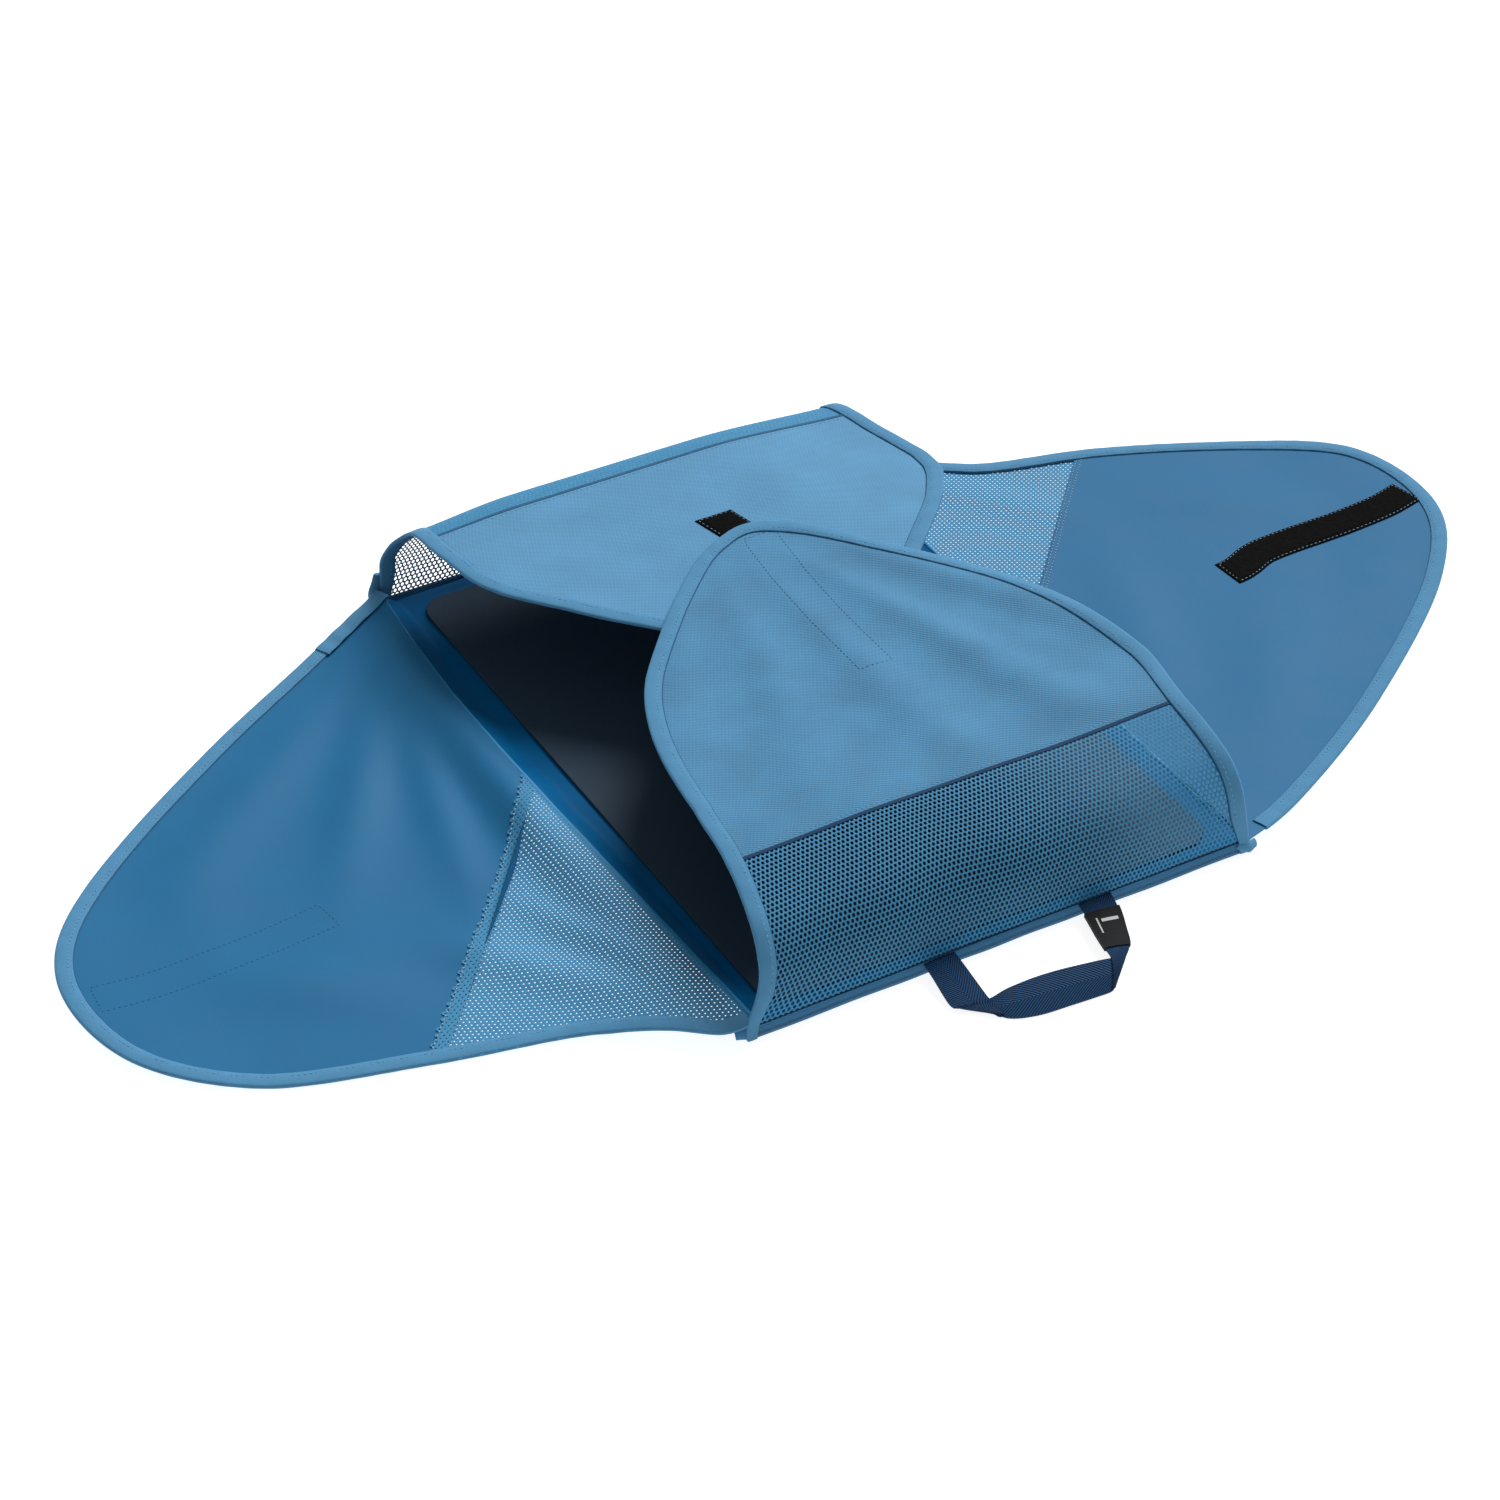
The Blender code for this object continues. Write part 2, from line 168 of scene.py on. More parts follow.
# How far the left edge of the base bows out, by y, and how high the ridge on each side stands.
LEFT_BOW = [
    (-0.254, 0.0005), (-0.150, 0.0050), (-0.020, 0.0100), (0.060, 0.0122), (0.130, 0.0125), (0.190, 0.0098),
    (0.254, 0.0048),
]
RIDGE = {"left": 0.0110, "right": 0.0043}


# ---- lines and shapes

def arc(line):
    """The distance run along a line at each of its points."""
    return np.concatenate([[0.0], np.cumsum(np.linalg.norm(np.diff(line, axis=0), axis=1))])


def unit(vectors):
    """The vectors made one long."""
    return vectors / np.linalg.norm(vectors, axis=-1)[..., None]


def sample(values, run, at):
    """The values of a line's points, found between them at these distances along its run."""
    return np.stack([np.interp(at, run, column) for column in values.T], axis=-1)


def even(line, spacing):
    """The line with its points an even distance apart."""
    line = np.asarray(line, float)
    run = arc(line)
    return sample(line, run, np.linspace(0, run[-1], max(2, round(run[-1] / spacing) + 1)))


def through(points, steps):
    """A Catmull-Rom curve through the points, with this many steps between each pair of them."""
    line = np.array(points, float)
    line = np.vstack([2 * line[0] - line[1], line, 2 * line[-1] - line[-2]])
    u = np.linspace(0, 1, steps, endpoint=False)[:, None]
    parts = []
    for a, b, c, d in zip(line, line[1:], line[2:], line[3:]):
        bend = (2 * a - 5 * b + 4 * c - d) * u**2 / 2
        twist = (3 * b - a - 3 * c + d) * u**3 / 2
        parts.append(b + (c - a) * u / 2 + bend + twist)
    return np.vstack([*parts, line[-2:-1]])


def smooth(points, spacing):
    """The same curve with its points an even distance apart."""
    return even(through(points, 30), spacing)


def inward(line):
    """The unit direction to the right of a line, at each of its points."""
    along = unit(np.gradient(line, axis=0))
    return np.stack([along[:, 1], -along[:, 0]], axis=1)


def inset(line, distance):
    """The line moved this far to its right."""
    return line + distance * inward(line)


def step(value, start, end):
    """0 before start and 1 after end, with a smooth rise between them."""
    share = np.clip((value - start) / (end - start), 0, 1)
    return share * share * (3 - 2 * share)


def clipped(outline, point, keep):
    """The part of an outline on one side of a straight line through a point."""
    ahead = (outline - np.asarray(point)) @ np.asarray(keep)
    made = []
    for i, (a, b) in enumerate(zip(ahead, np.roll(ahead, -1))):
        after = outline[(i + 1) % len(outline)]
        if a >= 0:
            made.append(outline[i])
        if (a >= 0) != (b >= 0):
            made.append(outline[i] + (after - outline[i]) * a / (a - b))
    return np.array(made)


def dense(outline, spacing):
    """The outline with its long edges divided."""
    made = []
    for a, b in zip(outline, np.roll(outline, -1, axis=0)):
        count = max(1, round(np.linalg.norm(b - a) / spacing))
        made += [a + (b - a) * i / count for i in range(count)]
    made = np.array(made)
    apart = np.linalg.norm(made - np.roll(made, 1, axis=0), axis=1)
    return made[apart > spacing * 0.2]


def inside(points, outline):
    """Which of the points are inside an outline."""
    x, y = points.T
    found = np.zeros(len(points), bool)
    for (x0, y0), (x1, y1) in zip(outline, np.roll(outline, -1, axis=0)):
        if y0 != y1:
            found ^= ((y0 > y) != (y1 > y)) & (x < (x1 - x0) * (y - y0) / (y1 - y0) + x0)
    return found


def rectangle(s_range, t_range):
    """A rectangle's corners, going round to the left."""
    (s0, s1), (t0, t1) = s_range, t_range
    return np.array([(s0, t0), (s1, t0), (s1, t1), (s0, t1)])


# ---- how cloth lies

def ridge(s, t, start, end, width, height):
    """A soft fold, highest half way along, that fades out at its ends and sides."""
    (s0, t0), (s1, t1) = start, end
    length = math.hypot(s1 - s0, t1 - t0)
    a, b = (s1 - s0) / length, (t1 - t0) / length
    along = np.clip(((s - s0) * a + (t - t0) * b) / length, 0, 1)
    across = ((s - s0) * b - (t - t0) * a) / width
    return height * np.exp(-across**2) * np.sin(np.pi * along) ** 2


def edge_bow(side, y):
    """How far one side of the base bows out at y."""
    if side == "right":
        return 0.0 * y
    return np.interp(y, *np.array(LEFT_BOW).T)


def side_middle(side):
    """Where the middle of a side wing's cloth lies: sewn to the base's edge, then down on the ground."""
    out = -1 if side == "left" else 1

    def middle(s, t):
        root = RIDGE[side] * np.exp(-np.maximum(s, 0) / 0.032)
        corner = CORNER_LIFT[side] * np.exp(-((s / 0.075) ** 2) - ((t + HALF_Y) / 0.075) ** 2)
        gusset = GUSSET_LIFT[side] * np.exp(-(((s - 0.045) / 0.035) ** 2) - ((t - 0.235) / 0.05) ** 2)
        tip = 0.003 * step(s, 0.26, 0.342)
        height = SIDE_LEVEL + root + corner + gusset + tip
        for fold in SIDE_FOLDS[side]:
            height = height + ridge(s, t, *fold)
        away = edge_bow(side, out * t) * np.exp(-np.maximum(s, 0) / 0.06)
        drawn_in = PUCKER[side] * np.exp(-((s - 0.275) / 0.075) ** 2) * step(t, 0.020, 0.120)
        return np.stack([out * (HALF_X + s + away), out * (t - drawn_in), height], axis=-1)

    return middle


END_CURVE = {side: smooth(points, 0.0005) for side, points in END_PROFILE.items()}
END_RUN = {side: arc(curve) for side, curve in END_CURVE.items()}
# The s at which each wall ends and its flap begins.
END_WALL = {}
for side, curve in END_CURVE.items():
    first_beyond = np.argmax(curve[:, 0] < END_FOLD_OUT[side])
    END_WALL[side] = float(END_RUN[side][first_beyond])


def pile(x, y):
    """How far the two flaps rise and sink together, as they lie on each other."""
    sag = -0.009 * step(x, 0.05, 0.185) * step(y, 0.02, 0.24)
    sag = sag - 0.006 * step(-x, 0.09, 0.175) * step(y, 0.17, 0.24)
    waves = 0.0012 * np.sin(x / 0.034 + 1.2 + y / 0.11) * np.cos(y / 0.052 + 0.4)
    return sag + waves * step(np.abs(x), 0.0, 0.08)


def fan(x, y):
    """Soft folds that spread from the front flap's tip to its seam, strongest on the right."""
    turn = np.arctan2(x - 0.005, 0.175 - y)
    strength = step(np.hypot(x, 0.175 - y), 0.06, 0.26)
    height = 0.0042 * strength * (0.35 + 0.65 * step(x, -0.06, 0.08))
    return height * ((1 + np.sin(turn * 24 + 0.8)) / 2) ** 1.5


def end_middle(side):
    """Where the middle of a front or back wing's cloth lies: up the wall, then in over the shirts."""
    toward = -1 if side == "front" else 1
    along_x = 1 if side == "front" else -1
    curve, run, wall = END_CURVE[side], END_RUN[side], END_WALL[side]
    shift = np.array(END_SHIFT[side])

    def middle(s, t):
        out = np.interp(s, run, curve[:, 0]) - np.maximum(s - run[-1], 0)
        z = np.interp(s, run, curve[:, 1]) + np.minimum(s, 0)
        x = along_x * t + np.interp(s - wall, shift[:, 0], shift[:, 1])
        y = toward * out
        risen = step(z, 0.03, 0.075)
        z = z + risen * pile(x, y)
        if side == "front":
            z = z + fan(x, y) * step(s - wall, 0.0, 0.03)
        belly = np.sin(np.pi * np.clip(s / wall, 0, 1)) * (s < wall)
        crease = np.sin(x / 0.019 + 7 * s) * np.sin(x / 0.052 + 2)
        y = y + toward * belly * (0.0022 * crease - 0.002 * np.cos(np.pi * x / 0.36))
        spread = np.where(x < 0, -FLARE[side][0], FLARE[side][1]) * step(np.abs(x), 0.11, 0.17)
        x = x + spread * np.exp(-((np.maximum(s, 0) / 0.022) ** 2))
        return np.stack([x, y, z], axis=-1)

    return middle


def lay(middle, flat, n=0.0):
    """The places of flat points (s, t), a distance n off the middle of the cloth."""
    flat = np.asarray(flat, float)
    s, t = flat[:, 0], flat[:, 1]
    h = 0.0006
    over_s = middle(s + h, t) - middle(s - h, t)
    over_t = middle(s, t + h) - middle(s, t - h)
    normal = unit(np.cross(over_s, over_t))
    return middle(s, t) + normal * np.broadcast_to(np.asarray(n, float), s.shape)[:, None]


# ---- materials

class Graph:
    """A material whose nodes are added by short calls. Numbers and links can both be inputs."""

    def __init__(self, name):
        self.material = bpy.data.materials.new(name)
        self.material.use_nodes = True
        self.nodes = self.material.node_tree.nodes
        self.links = self.material.node_tree.links
        self.shader = self.nodes["Principled BSDF"]

    def node(self, kind, inputs=None, **settings):
        """Adds a node, with these inputs and settings."""
        made = self.nodes.new(kind)
        for key, value in settings.items():
            setattr(made, key, value)
        for key, value in (inputs or {}).items():
            self.put(made.inputs[key], value)
        return made

    def put(self, socket, value):
        """Gives an input a link or a number."""
        if isinstance(value, bpy.types.NodeSocket):
            self.links.new(value, socket)
        else:
            socket.default_value = value

    def math(self, operation, a, b=0.0):
        return self.node("ShaderNodeMath", {0: a, 1: b}, operation=operation).outputs[0]

    def wave(self, value, length):
        """0 to 1 and back along a value in metres, once each length."""
        turned = self.math("SINE", self.math("MULTIPLY", value, 2 * math.pi / length))
        return self.scaled(turned, 0.5, 0.5)

    def scaled(self, value, factor, offset=0.0):
        """value x factor + offset"""
        return self.math("ADD", self.math("MULTIPLY", value, factor), offset)

    def plus(self, a, b, factor):
        """a + b x factor"""
        return self.math("ADD", a, self.math("MULTIPLY", b, factor))

    def cloth(self):
        """The place on the piece's flat pattern, in metres: both numbers together, and each by itself."""
        flat = self.node("ShaderNodeUVMap", uv_map="cloth").outputs[0]
        split = self.node("ShaderNodeSeparateXYZ", {0: flat})
        return flat, split.outputs[0], split.outputs[1]

    def noise(self, vector, scale, detail=2.0):
        inputs = {"Vector": vector, "Scale": scale, "Detail": detail}
        return self.node("ShaderNodeTexNoise", inputs).outputs["Fac"]

    def mix(self, share, colour, dark, light):
        """The colour times dark where the share is 0, and times light where it is 1."""
        low, high = ([min(1.0, value * factor) for value in colour] for factor in (dark, light))
        inputs = {0: share, 6: (*low, 1.0), 7: (*high, 1.0)}
        return self.node("ShaderNodeMix", inputs, data_type="RGBA").outputs[2]

    def finish(self, colour, height, depth, roughness, sheen=0.0, specular=0.15):
        """Sets the shader: a colour link, a bump of this depth in metres, and a roughness link."""
        bump = self.node("ShaderNodeBump", {"Height": height, "Distance": depth, "Strength": 1.0})
        self.put(self.shader.inputs["Base Color"], colour)
        self.put(self.shader.inputs["Roughness"], roughness)
        self.put(self.shader.inputs["Normal"], bump.outputs[0])
        self.shader.inputs["Specular IOR Level"].default_value = specular
        self.shader.inputs["Sheen Weight"].default_value = sheen
        self.shader.inputs["Sheen Roughness"].default_value = 0.4
        return self.material


def woven(name, colour, roughness, rib, depth=0.00012, contrast=0.10, sheen=0.06, specular=0.15):
    """Fabric with a fine broken twill, cloudy variation and a fine uneven nap."""
    graph = Graph(name)
    flat, s, t = graph.cloth()
    ribs = graph.wave(graph.plus(s, t, 0.55), rib)
    breaks = graph.wave(graph.plus(t, s, -0.55), rib * 1.35)
    twill = graph.math("MULTIPLY", ribs, graph.scaled(breaks, 0.6, 0.4))
    cloud = graph.noise(flat, 22.0, 3.0)
    fibre = graph.noise(flat, 900.0, 2.0)
    share = graph.plus(graph.scaled(cloud, 0.7, -0.12), twill, 0.45)
    share = graph.math("ADD", share, graph.scaled(fibre, 0.3, -0.15))
    colours = graph.mix(share, colour, 1 - contrast, 1 + contrast)
    rough = graph.scaled(cloud, 0.12, roughness - 0.06)
    return graph.finish(colours, graph.plus(twill, fibre, 0.35), depth, rough, sheen, specular)


def taped(name, colour):
    """Binding tape: a steep fine twill along the edge, softly creased by its stitches."""
    graph = Graph(name)
    flat, along, across = graph.cloth()
    twill = graph.wave(graph.plus(along, across, 1.4), 0.0014)
    cloud = graph.noise(flat, 60.0, 3.0)
    share = graph.plus(graph.scaled(cloud, 0.8, -0.1), twill, 0.4)
    colours = graph.mix(share, colour, 0.84, 1.12)
    height = graph.plus(twill, cloud, 1.5)
    return graph.finish(colours, height, 0.00010, graph.scaled(cloud, 0.15, 0.62), sheen=0.06)


def knitted(name, colour):
    """The net's strands: fine filaments, lighter where they catch the light."""
    graph = Graph(name)
    flat, s, t = graph.cloth()
    filament = graph.wave(graph.plus(s, t, 0.8), 0.0008)
    cloud = graph.noise(flat, 350.0, 2.0)
    share = graph.plus(graph.scaled(cloud, 0.9, -0.1), filament, 0.4)
    colours = graph.mix(share, colour, 0.75, 1.25)
    return graph.finish(colours, filament, 0.00008, graph.scaled(cloud, 0.2, 0.50), sheen=0.04)


def satin(name, colour, specular=0.03):
    """Smooth lining: a soft shine with fine lines along the cloth."""
    graph = Graph(name)
    flat, s, _ = graph.cloth()
    lines = graph.wave(s, 0.0012)
    cloud = graph.noise(flat, 30.0, 4.0)
    colours = graph.mix(graph.scaled(cloud, 0.9, 0.05), colour, 0.75, 1.30)
    height = graph.plus(graph.math("MULTIPLY", lines, 0.2), cloud, 2.0)
    return graph.finish(colours, height, 0.00016, graph.scaled(cloud, 0.2, 0.36), specular=specular)


def pile_tape(name, colour):
    """Hook or loop tape: a dense dark nap."""
    graph = Graph(name)
    flat = graph.cloth()[0]
    nap = graph.noise(flat, 1100.0, 3.0)
    clump = graph.noise(flat, 260.0, 2.0)
    share = graph.scaled(graph.math("ADD", nap, clump), 1.0, -0.5)
    colours = graph.mix(share, colour, 0.45, 1.9)
    height = graph.math("ADD", nap, clump)
    return graph.finish(colours, height, 0.0006, graph.scaled(nap, 0.1, 0.85), specular=0.04)


def herringbone(name, colour):
    """Webbing: ribs that lean out from its middle line on both sides."""
    graph = Graph(name)
    flat, along, across = graph.cloth()
    lean = graph.plus(along, graph.math("ABSOLUTE", across), 1.3)
    ribs = graph.wave(lean, 0.0025)
    fibre = graph.noise(flat, 1300.0, 2.0)
    share = graph.plus(graph.scaled(fibre, 0.4, -0.1), ribs, 0.75)
    colours = graph.mix(share, colour, 0.10, 2.6)
    height = graph.plus(ribs, fibre, 0.3)
    return graph.finish(colours, height, 0.00035, graph.scaled(fibre, 0.15, 0.62), sheen=0.02)


def threaded(name, colour):
    """Sewing thread, twisted."""
    graph = Graph(name)
    _, s, t = graph.cloth()
    twist = graph.wave(graph.math("ADD", s, t), 0.0006)
    colours = graph.mix(twist, colour, 0.8, 1.2)
    return graph.finish(colours, twist, 0.00005, graph.scaled(twist, 0.1, 0.55))


def moulded(name, colour, roughness, specular=0.4):
    """Sheet plastic: almost even, with a faint grain and cloudy gloss."""
    graph = Graph(name)
    place = graph.node("ShaderNodeTexCoord").outputs["Object"]
    grain = graph.noise(place, 1500.0, 2.0)
    cloud = graph.noise(place, 14.0, 3.0)
    colours = graph.mix(cloud, colour, 0.94, 1.05)
    rough = graph.scaled(cloud, 0.2, roughness - 0.1)
    return graph.finish(colours, grain, 0.00003, rough, specular=specular)


FINISH = {
    "outer_fabric": woven("outer fabric", (0.076, 0.246, 0.432), 0.72, 0.0019, 0.00018, 0.34),
    # The back flap is the same outer fabric, painted lighter to stand for it being better lit than the front
    # flap.
    "back_fabric_painted_lighter": woven(
        "outer fabric of the back flap, painted lighter", (0.104, 0.298, 0.505), 0.72, 0.0019, 0.00015, 0.26
    ),
    "inner_fabric": woven(
        "inner fabric", (0.0110, 0.137, 0.300), 0.58, 0.0013, 0.00006, 0.10, sheen=0.0, specular=0.14
    ),
    "lining": satin("lining", (0.0004, 0.092, 0.240)),
    "binding": taped("binding", (0.074, 0.248, 0.435)),
    "welt": taped("welt", (0.038, 0.165, 0.320)),
    "seam_tape": taped("seam", (0.004, 0.045, 0.115)),
    # A dark line colour: for seams, and as a painted shadow beside the bindings.
    "seam_and_shadow_line": taped("seam line and painted shadow", (0.022, 0.110, 0.225)),
    "mesh": knitted("net", (0.050, 0.234, 0.425)),
    # Piping: its own satin blue, made lighter than the lining as a painted highlight along the ridge's
    # crest.
    "piping": satin("piping", (0.012, 0.200, 0.420), specular=0.25),
    "hook_and_loop": pile_tape("hook and loop", (0.0034, 0.0035, 0.0037)),
    "webbing": herringbone("webbing", (0.0035, 0.0290, 0.0800)),
    "size_tag": woven("tag", (0.0060, 0.0062, 0.0068), 0.7, rib=0.0008, contrast=0.25),
    "tag_mark": woven("tag mark", (0.600, 0.600, 0.590), 0.7, rib=0.0008, contrast=0.1),
    "thread": threaded("thread", (0.170, 0.400, 0.600)),
    "bright_thread": threaded("bright thread", (0.300, 0.460, 0.580)),
    "dark_thread": threaded("dark thread", (0.034, 0.135, 0.260)),
    "stiffener": moulded("stiffener", (0.70, 0.70, 0.68), 0.6),
    "board": moulded("board", (0.022, 0.044, 0.072), 0.60, specular=0.12),
}


# ---- pieces

def piece(name, points, faces, flat, finish, sharp=50):
    """A mesh object with its flat pattern as its UV map, smooth but for edges sharper than this angle."""
    mesh = bpy.data.meshes.new(name)
    mesh.from_pydata(np.asarray(points).tolist(), [], faces)
    corners = np.zeros(len(mesh.loops), np.int32)
    mesh.loops.foreach_get("vertex_index", corners)
    pattern = mesh.uv_layers.new(name="cloth")
    pattern.data.foreach_set("uv", np.asarray(flat, np.float32)[corners].ravel())
    mesh.shade_smooth()
    mesh.set_sharp_from_angle(angle=math.radians(sharp))
    mesh.materials.append(FINISH[finish])
    obj = bpy.data.objects.new(name, mesh)
    bpy.context.scene.collection.objects.link(obj)
    return obj


def filled(outline, spacing):
    """(points, triangles) over an outline, with a staggered grid of points inside it."""
    outline = dense(outline, spacing)
    (s0, t0), (s1, t1) = outline.min(0), outline.max(0)
    rows = np.arange(t0 + spacing / 2, t1, spacing * 0.866)
    columns = np.arange(s0, s1, spacing)
    grid = np.array([(s + (i % 2) * spacing / 2, t) for i, t in enumerate(rows) for s in columns])
    grid = grid.reshape(-1, 2)
    grid = grid[inside(grid, outline)]
    nearest = np.array([np.min(np.hypot(*(outline - point).T)) for point in grid], float)
    points = np.vstack([outline, grid[nearest > spacing * 0.55]])
    edges = [(i, (i + 1) % len(outline)) for i in range(len(outline))]
    made = geometry.delaunay_2d_cdt([Vector(point) for point in points], edges, [], 1, 1e-7, False)
    flat = np.array([tuple(point) for point in made[0]])
    faces = [tuple(face) for face in made[2]]
    a, b, c = (flat[[face[i] for face in faces]] for i in range(3))
    turn = (b[:, 0] - a[:, 0]) * (c[:, 1] - a[:, 1]) - (b[:, 1] - a[:, 1]) * (c[:, 0] - a[:, 0])
    return flat, [face if positive else face[::-1] for face, positive in zip(faces, turn > 0)]


def rim(faces):
    """The directed edges that only one face uses."""
    edges = {(a, b) for face in faces for a, b in zip(face, face[1:] + face[:1])}
    return [(a, b) for a, b in edges if (b, a) not in edges]


def closed(faces, count):
    """The faces, the same faces turned over on a second layer of this many points, and the sides."""
    under = [tuple(i + count for i in reversed(face)) for face in faces]
    return faces + under + [(a, a + count, b + count, b) for a, b in rim(faces)]


def thin(name, flat, faces, middle, finish, thick, level=0.0):
    """Faces over a flat pattern, made into a closed thin solid."""
    points = np.vstack([lay(middle, flat, level + thick / 2), lay(middle, flat, level - thick / 2)])
    return piece(name, points, closed(faces, len(flat)), np.vstack([flat, flat]), finish)


def cloth(name, outline, middle, finish, thick=FABRIC, level=0.0, spacing=0.005):
    """A panel of cloth with this outline."""
    flat, faces = filled(outline, spacing)
    return thin(name, flat, faces, middle, finish, thick, level)


def quilt(name, rows, columns, middle, finish):
    """A panel over a grid of x and y, so that it can be finer in some places."""
    flat = np.array([(x, y) for x in rows for y in columns])
    wide = len(columns)
    grid = [
        (i * wide + j, (i + 1) * wide + j, (i + 1) * wide + j + 1, i * wide + j + 1)
        for i in range(len(rows) - 1) for j in range(wide - 1)
    ]
    return thin(name, flat, grid, middle, finish, FABRIC)


def net(name, outline, middle, level=0.0, tight_from=NEVER, openness=1.0):
    """Warp-knit net: strands with a lens section round staggered holes, in one closed mesh.

    Its holes are drawn nearly shut beyond tight_from.
    """
    (s0, t0), (s1, t1) = outline.min(0), outline.max(0)
    rows = np.arange(math.floor(s0 / ROW_PITCH), math.ceil(s1 / ROW_PITCH) + 1)
    columns = np.arange(math.floor(t0 / HOLE_PITCH) - 1, math.ceil(t1 / HOLE_PITCH) + 1)
    centres = np.array([(i * ROW_PITCH, (j + (i % 2) / 2) * HOLE_PITCH) for i in rows for j in columns])
    centres = centres[inside(centres, outline)]
    side, tip = ROW_SIDE * ROW_PITCH, (1 - ROW_SIDE) * ROW_PITCH
    half = HOLE_PITCH / 2
    corner = np.array([(tip, 0), (side, half), (-side, half), (-tip, 0), (-side, -half), (side, -half)])
    outer = (centres[:, None] + corner).reshape(-1, 2)
    drawn = openness - TIGHTENED * step(centres[:, 0], tight_from, tight_from + 0.006)
    size = np.stack([HOLE_LONG * drawn, HOLE_WIDE * drawn], axis=1)
    holes = (centres[:, None] + corner * size[:, None]).reshape(-1, 2)
    places = np.round(outer / 1e-5).astype(int)
    _, first, index = np.unique(places, axis=0, return_index=True, return_inverse=True)
    outer, index = outer[first], index.reshape(-1, 6)
    count = len(outer)
    hole = 2 * count + np.arange(len(holes)).reshape(-1, 6)
    after, hole_after = np.roll(index, -1, axis=1), np.roll(hole, -1, axis=1)
    top = np.stack([index, after, hole_after, hole], axis=-1).reshape(-1, 4)
    under = np.stack([hole, hole_after, after + count, index + count], axis=-1).reshape(-1, 4)
    sides = [(a, a + count, b + count, b) for a, b in rim(index.tolist())]
    faces = top.tolist() + under.tolist() + sides
    flat = np.vstack([outer, outer, holes])
    heights = np.repeat([level + NET / 2, level - NET / 2, level], [count, count, len(holes)])
    obj = piece(name, lay(middle, flat, heights), faces, flat, "mesh", sharp=80)
    cell = HOLE_PITCH * ROW_PITCH
    obj["cloth_area"] = float(len(centres) * cell - np.sum(cell * size[:, 0] * size[:, 1]))
    return obj


def skin(rings, count, flipped=False):
    """The faces between rings of this many points, and over both ends."""
    around = [(i, (i + 1) % count) for i in range(count)]
    start, end = range(count)[::-1], range(count)
    if flipped:
        around = [(b, a) for a, b in around]
        start, end = end, start
    faces = [
        (i * count + a, i * count + b, (i + 1) * count + b, (i + 1) * count + a)
        for i in range(rings - 1) for a, b in around
    ]
    return faces + [tuple(start), tuple((rings - 1) * count + i for i in end)]


def swept(name, line, section, middle, finish, wobble=0.0, taper=1.0):
    """A closed section, as (distance in from the line, n), carried along a line on a wing.

    Its width tapers to the share taper at the line's two ends.
    """
    inner = inward(line)
    run = arc(line)
    section = np.array(section)
    count = len(section)
    width = taper + (1 - taper) * step(np.minimum(run, run[-1] - run), 0.0, 0.030)
    flat = (line[:, None] + (inner * width[:, None])[:, None] * section[None, :, :1]).reshape(-1, 2)
    ripple = 1 + wobble * np.sin(run / 0.0031 + 2 * np.sin(run / 0.017))
    height = (ripple[:, None] * section[None, :, 1]).ravel()
    pattern = np.stack([np.repeat(run, count), np.tile(section[:, 0] + section[:, 1], len(line))], axis=1)
    faces = skin(len(line), count, flipped=True)
    return piece(name, lay(middle, flat, height), faces, pattern, finish, sharp=60)


def tape_section(width=TAPE_WIDTH, out=TAPE_OUT, gap=TAPE_IN):
    """A folded tape seen along the edge: a rounded U with its mouth towards the panel."""
    over = [(width, out - 0.0003), (width - 0.0006, out), (width * 0.5, out + 0.0001), (0.0015, out)]
    round_edge = [(0.0003, out * 0.8), (-0.0003, out * 0.4)]
    half = over + round_edge
    outer = half + [(v, -n) for v, n in reversed(half)]
    return outer + [(width, -gap), (0.0012, -gap), (0.0012, gap), (width, gap)]


BEAD_FACES = [(0, 1, 2), (0, 2, 3), (0, 3, 4), (0, 4, 1), (5, 2, 1), (5, 3, 2), (5, 4, 3), (5, 1, 4)]


def stitches(name, lines, middle, level, finish="thread", size=1.0):
    """Rows of thread along lines on a wing: a short raised bead for each stitch, on a face at this level."""
    points, flat, faces = [], [], []
    pitch = STITCH + STITCH_GAP
    for line in lines:
        run = arc(line)
        starts = np.arange(0.0005, run[-1] - STITCH, pitch)
        at = starts[:, None] + np.array([0, 0.5, 0.5, 0.5, 0.5, 1]) * STITCH
        base = sample(line, run, at)
        along = sample(inward(line), run, at)
        side = np.array([0, 1, 0, -1, 0, 0]) * 0.00042 * size
        rise = np.array([0, 0.05, 1, 0.05, -0.6, 0]) * 0.00034 * size * np.sign(level)
        bead = base + along * side[:, None]
        first = len(flat) * 6
        for i, stitch in enumerate(bead):
            flat.append(stitch)
            points.append(lay(middle, stitch, level + rise))
            k = first + 6 * i
            for face in BEAD_FACES:
                turned = face[::-1] if level < 0 else face
                faces.append(tuple(k + j for j in turned))
    return piece(name, np.vstack(points), faces, np.vstack(flat), finish, sharp=180)


